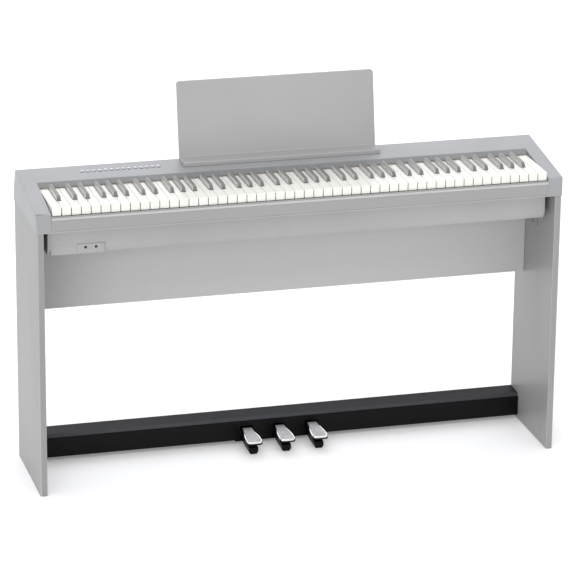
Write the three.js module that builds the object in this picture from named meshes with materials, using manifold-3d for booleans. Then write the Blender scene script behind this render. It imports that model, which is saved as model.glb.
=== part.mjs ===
// Digital piano on a fixed panel stand with a three-pedal unit. Millimetres, +Z up, +Y to the back,
// +X to the treble end. The origin is on the floor, under the middle of the whole object.
import * as THREE from "three";
import { mergeVertices } from "three/addons/utils/BufferGeometryUtils.js";
import Module from "manifold-3d";

const wasm = await Module();
wasm.setup();

// Clearances
const restGap = 0.3; // between pieces that rest on each other
const boreGap = 0.1; // shaft to bore, on the radius
const slideGap = 0.4; // round a button or a peg in its hole

// Keyboard
const whiteCount = 52;
const keyPitch = 23.5;
const keyGap = 0.9; // between neighbouring white keys
const keyVisible = 150; // white key length in front of the rear trim
const keyHeight = 20;
const keyTop = 59.7; // key tops above the case's base
const sharpWidth = 10;
const sharpCrown = 8.4; // width of a sharp's top face
const sharpLength = 97; // part of a sharp in front of the trim
const sharpProud = 12;
const sharpSlot = 1.1; // white key notch beside a sharp
const keyDip = 10;
const railDepth = 14; // rail that joins the keys of a comb
const trimRun = 18.5; // rear trim, from the end of the visible keys to the top panel
const sharpOffsets = { C: -3.2, D: 3.2, F: -4.2, G: 0, A: 4.2 };
const movingOctave = [23, 29]; // white keys from middle C to the B above it, counted from 0

// Piano case
const cheekWidth = 37;
const wellMargin = 2; // between the end keys and the cheeks
const pianoDepth = 288;
const frontLean = 3; // how far the front face leans back over its height
const frontHeight = 46.2;
const topSlope = THREE.MathUtils.degToRad(8.2);
const rearLean = 31; // top rear edge ahead of the foot of the rear wall
const shell = 3;
const plateGauge = 3; // bottom plate that rests on the stand
const frontCorner = 4; // plan radius of the front corners
const rearCorner = 9;
const frontBevel = 2.5;
const keySetback = 7; // key fronts behind the case front
const lowerSetback = 32; // lower body front behind the case front
const lowerRearSetback = 24;
const lowerHeight = 66;
const lowerChamfer = { depth: 10, height: 18 }; // sloped foot of the lower front
const lowerSideGap = 15; // lower body to stand panel
const slipHeight = 39.2;
const slipThickness = 6;
const slipBevel = 0.8;
const pivotInset = 54; // key pivots ahead of the case's rear
const tailInset = 4; // white key tails ahead of their pivots

// Sockets and speakers in the lower body
const jackBox = { x: [-610, -479], height: 27, depth: 44, plateX: -547 };
const jackX = [-526, -501];
const jackRadius = 3.6;
const rearPanel = { x: [70, 230], z: [22, 48], depth: 14 };
const rearSockets = [
  // centre x, width and height
  [88, 9, 9],
  [118, 14, 11],
  [150, 12, 11],
  [182, 13, 6],
];
const speakerX = 430;
const speakerRadius = 52;
const speakerRim = 6; // speaker edge outside its mouth

// Panel buttons
const buttonCount = 14;
const buttonPitch = 14.4;
const buttonCentreX = -399.5;
const buttonSetback = 41.5; // button row behind the top panel's front edge
const buttonSize = [8.4, 8];
const buttonProud = 1.8;
const buttonFlange = 1.6; // flange beyond the button, under the skin
const buttonTravel = 0.9;

// Music rest
const restWidth = 495;
const restHeight = 183;
const restPlate = 5.5;
const restLean = THREE.MathUtils.degToRad(9.6);
const restLedge = 43;
const restTopCorner = 8;
const restFootInset = 9; // plate foot ahead of the case's top rear edge
const pegSize = [30, 3.4, 12];
const pegSpread = 380;

// Stand
const standHeight = 661;
const standDepth = 274;
const standSetback = 2; // panel fronts behind the case front
const panelThickness = 17;
const panelInset = 1; // panel faces inside the case ends
const panelCorner = 4;
const apronThickness = 16;
const apronBottom = 401;
const apronTopGap = 5; // apron below the lower body
const apronSetback = 207; // behind the panel fronts
const bracketSize = [34, 86, 46];
const bracketLead = 4; // brackets ahead of the apron
const bracketGauge = 2.5;

// Pedal unit
const barDepth = 59.4;
const barBottom = 10.6;
const barTop = 70.8;
const barBoardHeight = 49.4;
const barBoardThickness = 12;
const barShell = 3;
const coverLip = 3; // cover's front lip behind the board's face
const coverChamfer = 7.5; // cover's upper front edge behind the board's face
const coverFall = 1.8; // cover's upper front edge below its rear edge
const basePlateGauge = 3;
const basePlateWidth = 226;
const pedalSpacing = 84;
const pedalReach = 134; // tip ahead of the pivot
const pedalTilt = THREE.MathUtils.degToRad(4);
const pedalTravelDeg = 6;
const pedalRootWidth = 27;
const pedalTipWidth = 40;
const pedalWaist = 56; // narrow part ends, ahead of the pivot
const pedalGauge = 4.5;
const pedalTop = 17.3; // pedal top above the pivot, at right angles to the pedal
const pivotHeight = 30;
const pivotInsetBar = 14; // pivot ahead of the bar's rear face
const pivotEar = 7; // radius of the arms' eyes round the shaft
const leverEar = 6;
const shaftRadius = 3;
const shaftOverhang = 6; // shaft beyond the outer arms
const pedalSlotGap = 2; // slot in the front board beyond the pedal's sides
const webGauge = 3.5; // lever plate under the pedal plate
const webEdge = 0.8; // lever plate beyond the pedal plate
const webRear = 37.4; // lever plate's rear end ahead of the pivot
const keelWidth = 15;
const keelNose = 102; // keel's front end ahead of the pivot
const keelBelly = 40; // lowest point of the keel ahead of the pivot
const keelSideGap = 1.5; // lever keel to arm wall
const armWall = 3;
const armClearance = 1.5; // pressed lever plate to arm wall
const armShoulder = 36; // arm's level rear part ahead of the pivot
const channelNose = 12; // solid toe of the arm
const footInset = 15.6; // arm's toe behind the pedal's tip
const footLength = 10;
const footWidth = 16;
const footTaper = 7; // height over which the foot narrows

// Derived places. "depth" values run back from the case's front face.
const keybedWidth = whiteCount * keyPitch;
const wellWidth = keybedWidth + 2 * wellMargin;
const pianoWidth = wellWidth + 2 * cheekWidth;
const panelOuter = pianoWidth / 2 - panelInset;
const panelInner = panelOuter - panelThickness;
const caseBase = standHeight + restGap;
const keyTopZ = caseBase + keyTop;
const wellDepth = keySetback + keyVisible + trimRun;
const topRearDepth = pianoDepth - rearLean;
const pivotDepth = pianoDepth - pivotInset;
const keyTailDepth = pivotDepth - tailInset;
const lowerBottomZ = caseBase - lowerHeight;
const lowerWidth = 2 * (panelInner - lowerSideGap);
const yAt = (depth) => depth - pianoDepth / 2;
const topHeight = (depth) => frontHeight + (depth - frontLean) * Math.tan(topSlope);
const barRearDepth = standSetback + standDepth;
const barFrontDepth = barRearDepth - barDepth;
const pedalPivotY = yAt(barRearDepth - pivotInsetBar);
const pedalRear = barDepth - pivotInsetBar + 0.2; // pedal plate's rear end ahead of the pivot
const pedalPress = pedalTilt + THREE.MathUtils.degToRad(pedalTravelDeg);
const webTop = pedalTop - pedalGauge - restGap;
const armWidth = keelWidth + 2 * (keelSideGap + armWall);

// Helpers: closed solids from three.js geometry, joined and cut with manifold
function toSolid(geometry) {
  const bare = geometry.index ? geometry.toNonIndexed() : geometry.clone();
  bare.deleteAttribute("normal");
  bare.deleteAttribute("uv");
  const merged = mergeVertices(bare, 1e-4);
  const vertProperties = merged.attributes.position.array;
  return new wasm.Manifold(
    new wasm.Mesh({ numProp: 3, vertProperties, triVerts: new Uint32Array(merged.index.array) }),
  );
}

function toGeometry(solid) {
  const mesh = solid.getMesh();
  const geometry = new THREE.BufferGeometry();
  geometry.setAttribute("position", new THREE.BufferAttribute(mesh.vertProperties, 3));
  geometry.setIndex(new THREE.BufferAttribute(mesh.triVerts, 1));
  const flat = geometry.toNonIndexed();
  flat.computeVertexNormals();
  return flat;
}

function box(low, high) {
  const size = high.map((value, i) => value - low[i]);
  const geometry = new THREE.BoxGeometry(...size);
  return geometry.translate(...low.map((value, i) => value + size[i] / 2));
}

function shapeOf(points) {
  return new THREE.Shape(points.map(([a, b]) => new THREE.Vector2(a, b)));
}

// A (y, z) outline drawn out along X.
function prismX(points, x0, x1) {
  const geometry = new THREE.ExtrudeGeometry(shapeOf(points), { depth: x1 - x0, bevelEnabled: false });
  const toX = new THREE.Matrix4().makeBasis(
    new THREE.Vector3(0, 1, 0),
    new THREE.Vector3(0, 0, 1),
    new THREE.Vector3(1, 0, 0),
  );
  return geometry.applyMatrix4(toX).translate(x0, 0, 0);
}

// An (x, y) outline drawn up along Z.
function prismZ(shape, z0, z1, curveSegments = 6) {
  const settings = { depth: z1 - z0, bevelEnabled: false, curveSegments };
  return new THREE.ExtrudeGeometry(shape, settings).translate(0, 0, z0);
}

// A round bar along X.
function barX(radius, x0, x1, sides = 16) {
  const geometry = new THREE.CylinderGeometry(radius, radius, x1 - x0, sides);
  return geometry.rotateZ(-Math.PI / 2).translate((x0 + x1) / 2, 0, 0);
}

function roundedPlan(x0, x1, y0, y1, frontRadii, rearRadii) {
  const [frontLeft, frontRight] = frontRadii;
  const [rearLeft, rearRight] = rearRadii;
  const shape = new THREE.Shape();
  const corner = (x, y, radius, from) => {
    if (radius > 0) shape.absarc(x, y, radius, from, from + Math.PI / 2, false);
    else shape.lineTo(x, y);
  };
  shape.moveTo(x0 + frontLeft, y0);
  corner(x1 - frontRight, y0 + frontRight, frontRight, -Math.PI / 2);
  corner(x1 - rearRight, y1 - rearRight, rearRight, 0);
  corner(x0 + rearLeft, y1 - rearLeft, rearLeft, Math.PI / 2);
  corner(x0 + frontLeft, y0 + frontLeft, frontLeft, Math.PI);
  return shape;
}

const finishes = {
  caseGrey: { color: 0xb4b5b7, roughness: 0.45, metalness: 0 },
  lowerGrey: { color: 0xa6a6a6, roughness: 0.6, metalness: 0 },
  boardGrey: { color: 0xadadad, roughness: 0.55, metalness: 0 },
  restGrey: { color: 0xb2b2b2, roughness: 0.5, metalness: 0 },
  keyWhite: { color: 0xfcfcfa, roughness: 0.25, metalness: 0 },
  keyGrey: { color: 0x8f8f8f, roughness: 0.5, metalness: 0 },
  trimGrey: { color: 0x8c8c8e, roughness: 0.5, metalness: 0 },
  buttonGrey: { color: 0xc3c6cc, roughness: 0.4, metalness: 0 },
  steel: { color: 0x9c9c9c, roughness: 0.35, metalness: 1 },
  circuitGreen: { color: 0x2f5a3c, roughness: 0.6, metalness: 0 },
  speakerBlack: { color: 0x2a2a2a, roughness: 0.8, metalness: 0 },
  barBlack: { color: 0x3a3b3f, roughness: 0.5, metalness: 0 },
  barFrontBlack: { color: 0x141418, roughness: 0.5, metalness: 0 },
  leverBlack: { color: 0x111113, roughness: 0.4, metalness: 0 },
  chrome: { color: 0xc9cacc, roughness: 0.15, metalness: 1 },
};

const piano = new THREE.Group();

function piece(name, geometry, finish, parent = piano) {
  const mesh = new THREE.Mesh(geometry, new THREE.MeshStandardMaterial(finishes[finish]));
  mesh.name = name;
  parent.add(mesh);
  return mesh;
}

// Stand
function sidePanel(name, side) {
  const inner = side * panelInner;
  const outer = side * panelOuter;
  const radii = side < 0 ? [panelCorner, 0] : [0, panelCorner];
  const y0 = yAt(standSetback);
  const plan = roundedPlan(
    Math.min(inner, outer), Math.max(inner, outer), y0, y0 + standDepth, radii, [0, 0],
  );
  piece(name, prismZ(plan, 0, standHeight), "boardGrey");
}

function apronBoard() {
  const y0 = yAt(standSetback + apronSetback);
  const x = panelInner - restGap;
  const top = lowerBottomZ - apronTopGap;
  piece("apron_board", box([-x, y0, apronBottom], [x, y0 + apronThickness, top]), "boardGrey");
}

// Steel angle that the lower body is screwed to, one on each panel.
function pianoBracket(name, side) {
  const [width, depth, height] = bracketSize;
  const y1 = yAt(standSetback + apronSetback - bracketLead);
  const x1 = panelInner - restGap;
  const top = lowerBottomZ - restGap;
  const upright = toSolid(box([x1 - bracketGauge, y1 - depth, top - height], [x1, y1, top]));
  const shelf = toSolid(box([x1 - width, y1 - depth, top - bracketGauge], [x1, y1, top]));
  const geometry = toGeometry(upright.add(shelf));
  if (side < 0) geometry.rotateZ(Math.PI).translate(0, 2 * y1 - depth, 0);
  piece(name, geometry, "steel");
}

// Piano case. The side outline has a leaning front, a sloped top and a rear wall that leans forward.
function caseOutline(inset, base) {
  const rise = frontHeight / frontLean;
  const front = inset * Math.hypot(1, 1 / rise);
  const drop = inset / Math.cos(topSlope);
  const topRearHeight = topHeight(topRearDepth);
  const rearSlope = rearLean / topRearHeight;
  const rear = inset * Math.hypot(1, rearSlope);
  const frontAt = (height) => front + height / rise;
  const rearAt = (height) => pianoDepth - rear - height * rearSlope;
  const topAt = (depth) => topHeight(depth) - drop;
  const frontTop = topAt(frontLean + front);
  const rearTopDepth = rearAt(topRearHeight - drop);
  const bevel = inset > 0 ? 0 : frontBevel;
  const round = inset > 0 ? 1 : 5;
  const outline = [
    [frontAt(base), base],
    [rearAt(base), base],
    [rearAt(topAt(rearTopDepth) - round), topAt(rearTopDepth) - round],
    [rearTopDepth - round * 0.35, topAt(rearTopDepth) - round * 0.2],
    [rearTopDepth - round, topAt(rearTopDepth - round)],
  ];
  if (bevel > 0) {
    outline.push([frontLean + 2 * bevel, topAt(frontLean + 2 * bevel)]);
    outline.push([frontAt(frontHeight - bevel), frontHeight - bevel]);
  } else {
    outline.push([frontAt(frontTop), frontTop]);
  }
  return outline.map(([depth, height]) => [yAt(depth), caseBase + height]);
}

function casePlan(inset) {
  const x = pianoWidth / 2 - inset;
  const front = Math.max(frontCorner - inset, 0.5);
  const rear = Math.max(rearCorner - inset, 0.5);
  const y0 = yAt(0) + inset;
  const y1 = yAt(pianoDepth) - inset;
  return roundedPlan(-x, x, y0, y1, [front, front], [rear, rear]);
}

// The frame of the sloped top at a given depth: local x across, y up the slope, z out of the panel.
function topFrame(depth) {
  const frame = new THREE.Group();
  frame.position.set(0, yAt(depth), caseBase + topHeight(depth));
  frame.rotation.x = topSlope;
  frame.updateMatrix();
  return frame;
}

const buttonFrame = topFrame(wellDepth + buttonSetback);
const restFootDepth = topRearDepth - restFootInset;
const pegDepth = restFootDepth - restLedge / 2;
const buttonX = (i) => buttonCentreX + (i - (buttonCount - 1) / 2) * buttonPitch;

function topCase() {
  const base = plateGauge + restGap;
  const over = 400;
  const x = pianoWidth / 2;
  let solid = toSolid(prismX(caseOutline(0, base), -x, x));
  solid = solid.intersect(toSolid(prismZ(casePlan(0), caseBase, caseBase + over, 5)));
  let hollow = toSolid(prismX(caseOutline(shell, base - 1), shell - x, x - shell));
  hollow = hollow.intersect(toSolid(prismZ(casePlan(shell), caseBase, caseBase + over, 4)));
  for (const side of [-1, 1]) {
    const a = side * (wellWidth / 2 - 1);
    const b = side * (wellWidth / 2 + shell);
    const low = [Math.min(a, b), yAt(-1), caseBase - 1];
    const high = [Math.max(a, b), yAt(wellDepth + shell), caseBase + over];
    hollow = hollow.subtract(toSolid(box(low, high)));
  }
  solid = solid.subtract(hollow);
  const well = box(
    [-wellWidth / 2, yAt(-1), caseBase - 1],
    [wellWidth / 2, yAt(wellDepth), caseBase + over],
  );
  solid = solid.subtract(toSolid(well));
  for (let i = 0; i < buttonCount; i++) {
    const [width, depth] = buttonSize.map((size) => size / 2 + slideGap);
    const hole = box([buttonX(i) - width, -depth, -20], [buttonX(i) + width, depth, 20]);
    solid = solid.subtract(toSolid(hole.applyMatrix4(buttonFrame.matrix)));
  }
  for (const side of [-1, 1]) {
    const [width, depth] = pegSize.map((size) => size / 2 + slideGap);
    const x0 = (side * pegSpread) / 2;
    const y0 = yAt(pegDepth);
    const slot = box([x0 - width, y0 - depth, caseBase + 30], [x0 + width, y0 + depth, caseBase + 200]);
    solid = solid.subtract(toSolid(slot));
  }
  piece("top_case", toGeometry(solid), "caseGrey");
}

function lowerOutline(inset, top) {
  const front = lowerSetback + inset;
  const rear = pianoDepth - lowerRearSetback - inset;
  const bottom = lowerBottomZ + inset;
  return [
    [yAt(front + lowerChamfer.depth), bottom],
    [yAt(rear), bottom],
    [yAt(rear), top],
    [yAt(front), top],
    [yAt(front), bottom + lowerChamfer.height],
  ];
}

function bottomCase() {
  const half = lowerWidth / 2;
  const plateTop = caseBase + plateGauge;
  let solid = toSolid(prismZ(casePlan(0), caseBase, plateTop, 5));
  solid = solid.add(toSolid(prismX(lowerOutline(0, plateTop - 1), -half, half)));
  const inside = lowerOutline(shell, plateTop + 5);
  solid = solid.subtract(toSolid(prismX(inside, shell - half, half - shell)));
  const notchRear = yAt(lowerSetback + jackBox.depth) + restGap;
  const notch = box(
    [jackBox.x[0] - restGap, yAt(lowerSetback) - 5, lowerBottomZ - 5],
    [jackBox.x[1] + restGap, notchRear, lowerBottomZ + jackBox.height + restGap],
  );
  solid = solid.subtract(toSolid(notch));
  const rear = yAt(pianoDepth - lowerRearSetback);
  const windowCut = box(
    [rearPanel.x[0] - restGap, rear - 10, lowerBottomZ + rearPanel.z[0] - restGap],
    [rearPanel.x[1] + restGap, rear + 10, lowerBottomZ + rearPanel.z[1] + restGap],
  );
  solid = solid.subtract(toSolid(windowCut));
  for (const side of [-1, 1]) {
    const mouthRadius = speakerRadius - speakerRim;
    const mouth = new THREE.CylinderGeometry(mouthRadius, mouthRadius, 20, 24);
    mouth.rotateX(Math.PI / 2).translate(side * speakerX, 0, lowerBottomZ);
    solid = solid.subtract(toSolid(mouth));
  }
  piece("bottom_case", toGeometry(solid), "lowerGrey");
}

// Headphone sockets sit in a box let into the lower body's front.
function headphoneJackBox() {
  const front = yAt(lowerSetback);
  const top = lowerBottomZ + jackBox.height;
  const low = [jackBox.x[0], front + 1.5, lowerBottomZ];
  const high = [jackBox.x[1], front + jackBox.depth, top];
  let solid = toSolid(box(low, high));
  const plate = box([jackBox.plateX, front, lowerBottomZ + 3], [jackBox.x[1] - 3, front + 5, top - 3]);
  solid = solid.add(toSolid(plate));
  for (const x of jackX) {
    const socket = new THREE.CylinderGeometry(jackRadius, jackRadius, 36, 16);
    socket.translate(x, front + 14, lowerBottomZ + jackBox.height / 2 + 2);
    solid = solid.subtract(toSolid(socket));
  }
  piece("headphone_jack_box", toGeometry(solid), "lowerGrey");
}

function rearJackPanel() {
  const rear = yAt(pianoDepth - lowerRearSetback);
  const [z0, z1] = rearPanel.z.map((z) => z + lowerBottomZ);
  let solid = toSolid(box([rearPanel.x[0], rear - rearPanel.depth, z0], [rearPanel.x[1], rear, z1]));
  const middle = (z0 + z1) / 2;
  for (const [x, width, height] of rearSockets) {
    const low = [x - width / 2, rear - 10, middle - height / 2];
    const high = [x + width / 2, rear + 1, middle + height / 2];
    solid = solid.subtract(toSolid(box(low, high)));
  }
  piece("rear_jack_panel", toGeometry(solid), "lowerGrey");
}

function keySlip() {
  const x = wellWidth / 2 - restGap;
  const base = caseBase + plateGauge + restGap;
  const top = caseBase + slipHeight;
  const outline = [
    [yAt(0.2), base],
    [yAt(slipThickness), base],
    [yAt(slipThickness), top - slipBevel],
    [yAt(slipThickness - slipBevel), top],
    [yAt(0.9 + slipBevel), top],
    [yAt(0.9), top - slipBevel],
  ];
  piece("key_slip", prismX(outline, -x, x), "boardGrey");
}

// Slanted trim that closes the gap between the keys and the top panel.
function rearTrim() {
  const x = wellWidth / 2 - restGap;
  const rear = wellDepth - restGap;
  const foot = keySetback + keyVisible;
  const top = caseBase + topHeight(wellDepth) - 0.6;
  const low = keyTopZ + 1.6;
  const outline = [
    [yAt(foot), low],
    [yAt(foot + 3), low],
    [yAt(rear), top - 5],
    [yAt(rear), top],
    [yAt(rear - 1), top],
    [yAt(foot), low + 1.6],
  ];
  piece("key_rear_trim", prismX(outline, -x, x), "trimGrey");
}

// Key frame: a pressed plate with a front guide rail and a rear pivot rail.
function keyChassis() {
  const x = keybedWidth / 2 - 1;
  const base = caseBase + plateGauge + restGap;
  const rearFoot = pianoDepth - lowerRearSetback + 10;
  const railTop = keyTopZ - keyHeight - keyDip - 1.5;
  const pivotTop = keyTopZ - 4;
  const outline = [
    [yAt(keySetback + 6), base],
    [yAt(rearFoot), base],
    [yAt(rearFoot), base + 3],
    [yAt(pivotDepth + 9), base + 3],
    [yAt(pivotDepth + 9), pivotTop],
    [yAt(pivotDepth + 2), pivotTop],
    [yAt(pivotDepth + 2), base + 3],
    [yAt(keySetback + 22), base + 3],
    [yAt(keySetback + 22), railTop],
    [yAt(keySetback + 16), railTop],
    [yAt(keySetback + 16), base + 3],
    [yAt(keySetback + 6), base + 3],
  ];
  piece("key_chassis", prismX(outline, -x, x), "steel");
}

// Keys. The lowest white key is an A; letters repeat every seven.
const letters = ["A", "B", "C", "D", "E", "F", "G"];
const letterOf = (i) => letters[i % 7];
const whiteLeft = (i) => i * keyPitch - keybedWidth / 2;
const hasSharp = (i) => i < whiteCount - 1 && letterOf(i) in sharpOffsets;
const sharpX = (i) => whiteLeft(i + 1) + sharpOffsets[letterOf(i)];
const sharpFrontDepth = keySetback + keyVisible - sharpLength;

function whiteKeySolid(i) {
  const left = whiteLeft(i) + keyGap / 2;
  const right = whiteLeft(i + 1) - keyGap / 2;
  const tailLeft = i > 0 && hasSharp(i - 1) ? sharpX(i - 1) + sharpWidth / 2 + sharpSlot : left;
  const tailRight = hasSharp(i) ? sharpX(i) - sharpWidth / 2 - sharpSlot : right;
  const front = yAt(keySetback);
  const shoulder = yAt(sharpFrontDepth - sharpSlot);
  const tail = yAt(keyTailDepth);
  const outline = [[left, front], [right, front], [right, shoulder]];
  if (tailRight !== right) outline.push([tailRight, shoulder]);
  outline.push([tailRight, tail], [tailLeft, tail]);
  if (tailLeft !== left) outline.push([tailLeft, shoulder]);
  outline.push([left, shoulder]);
  return toSolid(prismZ(shapeOf(outline), keyTopZ - keyHeight, keyTopZ));
}

const sharpTailDepth = keyTailDepth - railDepth - 8;

function sharpKeySolid(i) {
  const front = yAt(sharpFrontDepth);
  const crownEnd = yAt(keySetback + keyVisible - 1);
  const tail = yAt(sharpTailDepth);
  const top = keyTopZ + sharpProud;
  const side = [
    [front, keyTopZ - 14],
    [tail, keyTopZ - 14],
    [tail, keyTopZ + 0.8],
    [crownEnd, keyTopZ + 0.8],
    [crownEnd, top],
    [front + 7, top],
    [front + 1.2, keyTopZ + 1],
  ];
  const x = sharpX(i);
  const body = toSolid(prismX(side, x - sharpWidth / 2, x + sharpWidth / 2));
  const section = [
    [x - sharpWidth / 2, keyTopZ - 20],
    [x + sharpWidth / 2, keyTopZ - 20],
    [x + sharpWidth / 2, keyTopZ + 1],
    [x + sharpCrown / 2, top + 0.01],
    [x - sharpCrown / 2, top + 0.01],
    [x - sharpWidth / 2, keyTopZ + 1],
  ];
  const length = pianoDepth;
  const flanks = prismZ(shapeOf(section), 0, length).rotateX(Math.PI / 2).translate(0, length / 2, 0);
  return body.intersect(toSolid(flanks));
}

// A fixed run of keys is one moulded comb: its keys hang on a rail behind the trim.
function whiteComb(name, first, last) {
  const low = [whiteLeft(first) + keyGap / 2, yAt(keyTailDepth - railDepth), keyTopZ - keyHeight];
  const high = [whiteLeft(last + 1) - keyGap / 2, yAt(keyTailDepth), keyTopZ - keyHeight + 9];
  let solid = toSolid(box(low, high));
  for (let i = first; i <= last; i++) solid = solid.add(whiteKeySolid(i));
  piece(name, toGeometry(solid), "keyWhite");
}

function sharpComb(name, first, last) {
  const keys = [];
  for (let i = first; i <= last; i++) if (hasSharp(i)) keys.push(i);
  const y1 = yAt(sharpTailDepth);
  const low = [sharpX(keys[0]) - sharpWidth / 2, y1 - railDepth, keyTopZ + restGap];
  const high = [sharpX(keys.at(-1)) + sharpWidth / 2, y1, keyTopZ + 5];
  let solid = toSolid(box(low, high));
  for (const i of keys) solid = solid.add(sharpKeySolid(i));
  piece(name, toGeometry(solid), "keyGrey");
}

function keyboard() {
  const [first, last] = movingOctave;
  whiteComb("white_keys_low", 0, first - 1);
  whiteComb("white_keys_high", last + 1, whiteCount - 1);
  sharpComb("black_keys_low", 0, first - 1);
  sharpComb("black_keys_high", last + 1, whiteCount - 1);
  for (let i = first; i <= last; i++) {
    const letter = letterOf(i).toLowerCase();
    piece(`key_${letter}`, toGeometry(whiteKeySolid(i)), "keyWhite");
    if (hasSharp(i)) piece(`key_${letter}_sharp`, toGeometry(sharpKeySolid(i)), "keyGrey");
  }
}

// Buttons stand in holes of the sloped top and are held by a flange under the skin.
function buttons() {
  const [width, depth] = buttonSize;
  const flangeTop = -shell - restGap;
  const flangeBottom = flangeTop - 1.2;
  const half = width / 2;
  const outline = [
    [-half - buttonFlange, flangeBottom],
    [half + buttonFlange, flangeBottom],
    [half + buttonFlange, flangeTop],
    [half, flangeTop],
    [half, buttonProud],
    [-half, buttonProud],
    [-half, flangeTop],
    [-half - buttonFlange, flangeTop],
  ];
  for (let i = 0; i < buttonCount; i++) {
    const geometry = prismZ(shapeOf(outline), -depth / 2, depth / 2).rotateX(Math.PI / 2);
    const button = piece(`button_${i + 1}`, geometry, "buttonGrey", buttonFrame);
    button.position.x = buttonX(i);
  }
  const top = flangeBottom - buttonTravel - 0.6;
  const reach = (buttonCount * buttonPitch) / 2 + 12;
  const board = box([buttonCentreX - reach, -18, top - 1.6], [buttonCentreX + reach, 14, top]);
  piece("panel_board", board, "circuitGreen", buttonFrame);
  piano.add(buttonFrame);
}

function mainBoard() {
  const z = lowerBottomZ + shell + 6;
  const rear = yAt(pianoDepth - lowerRearSetback - shell - rearPanel.depth - 6);
  piece("main_board", box([20, rear - 120, z], [280, rear, z + 1.6]), "circuitGreen");
}

function speaker(name, x) {
  const profile = [
    [0, 17],
    [14, 12],
    [speakerRadius - 12, 2.4],
    [speakerRadius - 8, 0],
    [speakerRadius, 0],
    [speakerRadius, 3],
    [26, 24],
    [26, 42],
    [0, 42],
  ];
  const points = profile.map(([radius, height]) => new THREE.Vector2(radius, height));
  const geometry = new THREE.LatheGeometry(points, 24).rotateX(Math.PI / 2);
  const mesh = piece(name, geometry, "speakerBlack");
  mesh.position.set(x, 0, lowerBottomZ + shell + restGap);
}

// Music rest: a leaning plate on a ledge whose underside follows the case top, with two pegs.
function musicRest() {
  const footDepth = restFootDepth;
  const half = restWidth / 2;
  const under = (depth) => caseBase + topHeight(depth) + restGap / Math.cos(topSlope);
  const ledgeTop = under(footDepth) + 4.2;
  const plateDepth = restPlate / Math.cos(restLean);
  const run = restHeight * Math.tan(restLean);
  const rearFoot = footDepth + plateDepth;
  const topZ = ledgeTop + restHeight;
  const outline = [
    [footDepth - restLedge, under(footDepth - restLedge)],
    [rearFoot, under(rearFoot)],
    [rearFoot + run, topZ],
    [footDepth + run, topZ],
    [footDepth + 0.8, ledgeTop + 4],
    [footDepth - 3, ledgeTop],
    [footDepth - restLedge + 1.5, ledgeTop],
    [footDepth - restLedge, ledgeTop - 1.5],
  ];
  const points = outline.map(([depth, z]) => [yAt(depth), z]);
  let solid = toSolid(prismX(points, -half, half));
  const front = new THREE.Shape();
  front.moveTo(-half, -300);
  front.lineTo(half, -300);
  front.absarc(half - restTopCorner, -restTopCorner, restTopCorner, 0, Math.PI / 2, false);
  front.absarc(restTopCorner - half, -restTopCorner, restTopCorner, Math.PI / 2, Math.PI, false);
  const mask = prismZ(front, -300, 300, 5).rotateX(Math.PI / 2).translate(0, 0, topZ);
  solid = solid.intersect(toSolid(mask));
  const [pegWidth, pegDepthSize, pegLength] = pegSize;
  const pegY = yAt(pegDepth);
  for (const side of [-1, 1]) {
    const x = (side * pegSpread) / 2;
    const low = [x - pegWidth / 2, pegY - pegDepthSize / 2, under(pegDepth) - pegLength];
    const high = [x + pegWidth / 2, pegY + pegDepthSize / 2, under(pegDepth) + 2];
    solid = solid.add(toSolid(box(low, high)));
  }
  piece("music_rest", toGeometry(solid), "restGrey");
}

// Pedal unit
function pedalBar() {
  const x = panelInner - restGap;
  const front = barFrontDepth;
  const boardTop = barBottom + barBoardHeight;
  const boardRear = front + barBoardThickness;
  let board = toSolid(box([-x, yAt(front), barBottom], [x, yAt(boardRear), boardTop]));
  for (const side of [-1, 0, 1]) {
    const half = pedalRootWidth / 2 + pedalSlotGap;
    const middle = side * pedalSpacing;
    const notchTop = pivotHeight + pedalTop;
    const low = [middle - half, yAt(front - 1), barBottom - 1];
    const high = [middle + half, yAt(boardRear + 1), notchTop];
    board = board.subtract(toSolid(box(low, high)));
  }
  piece("pedal_bar_front_board", toGeometry(board), "barFrontBlack");
  const rear = barRearDepth;
  const shoulder = barTop - coverFall;
  const lip = boardTop + restGap;
  const outline = [
    [front + coverLip, lip],
    [front + coverLip + barShell, lip],
    [front + coverChamfer + 1, shoulder - barShell],
    [rear - barShell, barTop - barShell],
    [rear - barShell, barBottom],
    [rear, barBottom],
    [rear, barTop],
    [front + coverChamfer, shoulder],
  ];
  const points = outline.map(([depth, z]) => [yAt(depth), z]);
  piece("pedal_bar_cover", prismX(points, -x, x), "barBlack");
  const plateTop = barBottom - restGap;
  const plate = box(
    [-basePlateWidth / 2, yAt(front + 0.5), plateTop - basePlateGauge],
    [basePlateWidth / 2, yAt(rear - barShell - restGap), plateTop],
  );
  piece("pedal_base_plate", plate, "leverBlack");
  const reach = pedalSpacing + armWidth / 2 + shaftOverhang;
  const shaft = barX(shaftRadius, -reach, reach);
  shaft.translate(0, pedalPivotY, pivotHeight);
  piece("pedal_pivot_shaft", shaft, "steel");
}

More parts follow.
